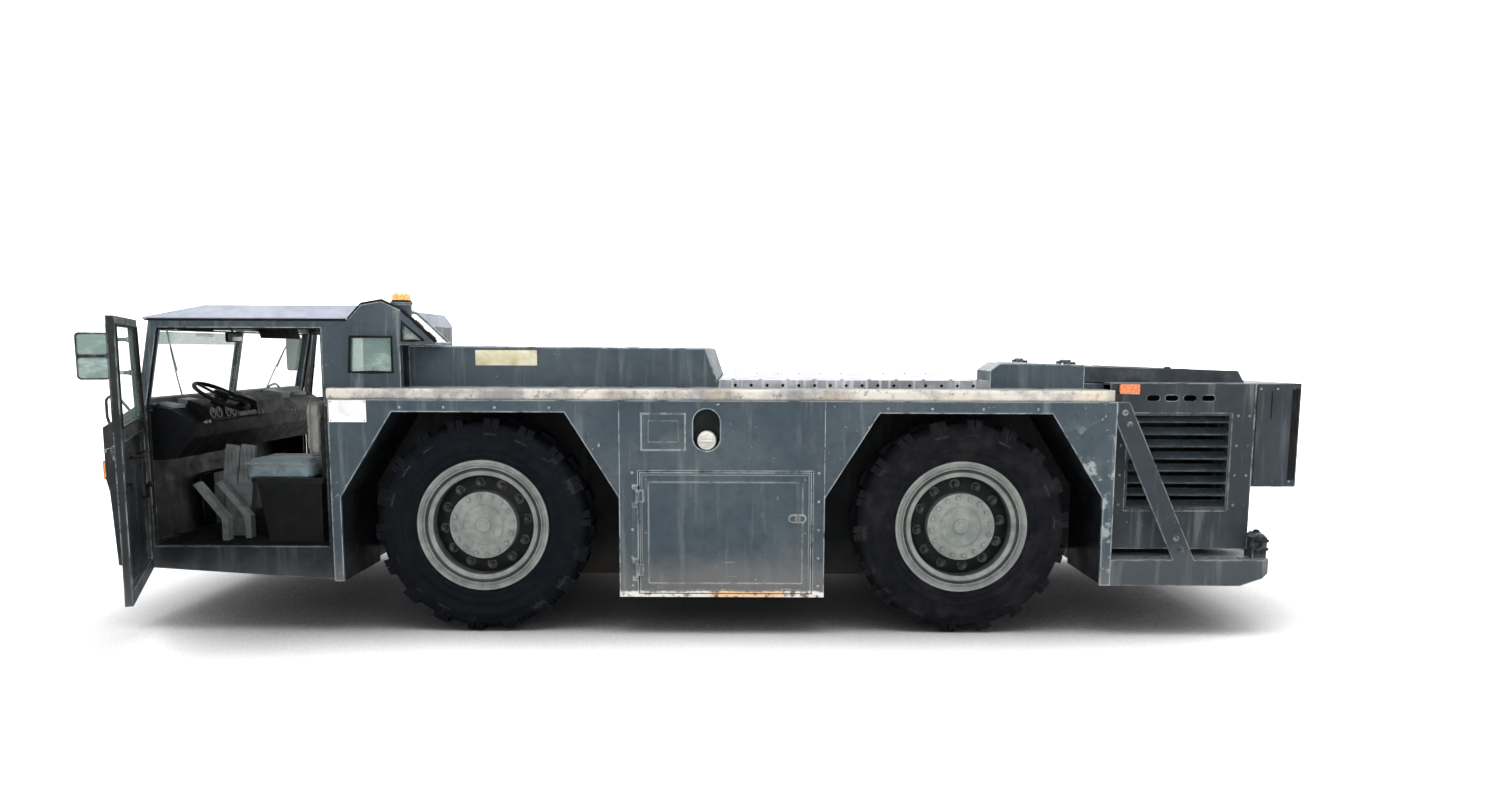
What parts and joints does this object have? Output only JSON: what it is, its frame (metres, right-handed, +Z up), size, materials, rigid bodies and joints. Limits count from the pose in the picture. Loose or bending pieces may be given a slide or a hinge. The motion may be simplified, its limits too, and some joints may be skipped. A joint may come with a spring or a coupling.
{
  "type": "aircraft pushback tractor",
  "caption": "Low heavy tractor for moving aircraft, with a forward cab, open side doors, all-wheel steering, lockers, engine bay louvres and tow couplings at both ends",
  "frame": {"origin": "on the ground under the centre of the bounding box", "axes": "-X is the cab end and the way it drives, -Y is its left side with the steering wheel, +Z is up"},
  "size_m": [7.158, 4.493, 2.0326],
  "materials": {
    "body_paint": "scuffed",
    "dark_paint": "dusty",
    "worn_edge_paint": "worn",
    "roof_paint": "faded",
    "walkway_metal": "worn",
    "dark_frame": "greasy",
    "rim_paint": "dusty",
    "tyre_rubber": "dusty",
    "window_glass": "tinted",
    "black_plastic": "matte",
    "grey_plastic": "matte",
    "white_plastic": "matte",
    "seat_vinyl": "worn",
    "amber_lens": "clear",
    "clear_lens": "clear"
  },
  "bodies": {
    "chassis": {"main_frame": "dark_frame", "side_body_left": "body_paint", "side_body_right": "body_paint", "deck": "worn_edge_paint", "lockers": "body_paint", "fuel_cap": "white_plastic", "front_hood": "body_paint", "walkway": "walkway_metal", "rear_hood": "body_paint", "cab_tub": "body_paint", "cab_side_left": "body_paint", "cab_side_right": "body_paint", "screen_frame": "body_paint", "cab_rear_cap": "dark_paint", "roof": "roof_paint", "windscreen": "window_glass", "cab_glass": "window_glass", "dash": "black_plastic", "steering_wheel": "black_plastic", "driver_controls": "grey_plastic", "seat_bases": "dark_frame", "seat_cushions": "seat_vinyl", "seat_backs": "seat_vinyl", "corner_lamps": "amber_lens", "head_lamps": "clear_lens", "beacon": "amber_lens", "rear_bay": "dark_paint", "louvres": "dark_paint", "engine_block": "dark_frame", "radiator_box": "dark_paint", "radiator_grille": "dark_paint", "rear_platform": "dark_paint", "rear_coupling": "dark_frame", "front_coupling": "dark_frame", "front_axle": "dark_frame", "rear_axle": "dark_frame"},
    "knuckle_front_left": {"knuckle_front_left": "dark_frame"},
    "wheel_front_left": {"wheel_front_left": "rim_paint", "tyre_front_left": "tyre_rubber"},
    "knuckle_front_right": {"knuckle_front_right": "dark_frame"},
    "wheel_front_right": {"wheel_front_right": "rim_paint", "tyre_front_right": "tyre_rubber"},
    "tie_rod_front": {"tie_rod_front": "dark_frame"},
    "knuckle_rear_left": {"knuckle_rear_left": "dark_frame"},
    "wheel_rear_left": {"wheel_rear_left": "rim_paint", "tyre_rear_left": "tyre_rubber"},
    "knuckle_rear_right": {"knuckle_rear_right": "dark_frame"},
    "wheel_rear_right": {"wheel_rear_right": "rim_paint", "tyre_rear_right": "tyre_rubber"},
    "tie_rod_rear": {"tie_rod_rear": "dark_frame"},
    "cab_door_left": {"cab_door_left": "body_paint", "door_glass_left": "window_glass"},
    "locker_door_left": {"locker_door_left": "body_paint"},
    "cab_door_right": {"cab_door_right": "body_paint", "door_glass_right": "window_glass"},
    "locker_door_right": {"locker_door_right": "body_paint"},
    "engine_cover": {"engine_cover": "black_plastic"}
  },
  "joints": [
    {"name": "steer_front_left", "type": "hinge", "parent": "chassis", "child": "knuckle_front_left", "pos_m": [-1.299, -0.79, 0.652], "axis": [0, 0, 1], "range_deg": [-20, 20]},
    {"name": "spin_front_left", "type": "hinge", "parent": "knuckle_front_left", "child": "wheel_front_left", "pos_m": [-1.299, -1.01, 0.652], "axis": [0, 1, 0], "continuous": true},
    {"name": "steer_front_right", "type": "hinge", "parent": "chassis", "child": "knuckle_front_right", "pos_m": [-1.299, 0.79, 0.652], "axis": [0, 0, 1], "range_deg": [-20, 20]},
    {"name": "spin_front_right", "type": "hinge", "parent": "knuckle_front_right", "child": "wheel_front_right", "pos_m": [-1.299, 1.01, 0.652], "axis": [0, 1, 0], "continuous": true},
    {"name": "tie_rod_front_eye", "type": "hinge", "parent": "knuckle_front_left", "child": "tie_rod_front", "pos_m": [-1.099, -0.79, 0.43], "axis": [0, 0, 1], "range_deg": [-20, 20]},
    {"name": "steer_rear_left", "type": "hinge", "parent": "chassis", "child": "knuckle_rear_left", "pos_m": [1.573, -0.79, 0.652], "axis": [0, 0, 1], "range_deg": [-20, 20]},
    {"name": "spin_rear_left", "type": "hinge", "parent": "knuckle_rear_left", "child": "wheel_rear_left", "pos_m": [1.573, -1.01, 0.652], "axis": [0, 1, 0], "continuous": true},
    {"name": "steer_rear_right", "type": "hinge", "parent": "chassis", "child": "knuckle_rear_right", "pos_m": [1.573, 0.79, 0.652], "axis": [0, 0, 1], "range_deg": [-20, 20]},
    {"name": "spin_rear_right", "type": "hinge", "parent": "knuckle_rear_right", "child": "wheel_rear_right", "pos_m": [1.573, 1.01, 0.652], "axis": [0, 1, 0], "continuous": true},
    {"name": "tie_rod_rear_eye", "type": "hinge", "parent": "knuckle_rear_left", "child": "tie_rod_rear", "pos_m": [1.373, -0.79, 0.43], "axis": [0, 0, 1], "range_deg": [-20, 20]},
    {"name": "door_left", "type": "hinge", "parent": "chassis", "child": "cab_door_left", "pos_m": [-3.308, -1.229, 0.91], "axis": [0, 0, 1], "range_deg": [-8, 67]},
    {"name": "door_right", "type": "hinge", "parent": "chassis", "child": "cab_door_right", "pos_m": [-3.308, 1.229, 0.91], "axis": [0, 0, 1], "range_deg": [-67, 8]},
    {"name": "locker_left", "type": "hinge", "parent": "chassis", "child": "locker_door_left", "pos_m": [-0.368, -1.237, 0.62], "axis": [0, 0, 1], "range_deg": [-110, 0]},
    {"name": "locker_right", "type": "hinge", "parent": "chassis", "child": "locker_door_right", "pos_m": [-0.368, 1.237, 0.62], "axis": [0, 0, 1], "range_deg": [0, 110]},
    {"name": "engine_cover", "type": "hinge", "parent": "chassis", "child": "engine_cover", "pos_m": [2.318, 0, 1.638], "axis": [0, -1, 0], "range_deg": [0, 65]}
  ],
  "couplings": [
    {"joint": "steer_front_right", "follows": "steer_front_left", "ratio": 1},
    {"joint": "tie_rod_front_eye", "follows": "steer_front_left", "ratio": -1},
    {"joint": "steer_rear_right", "follows": "steer_rear_left", "ratio": 1},
    {"joint": "tie_rod_rear_eye", "follows": "steer_rear_left", "ratio": -1}
  ]
}
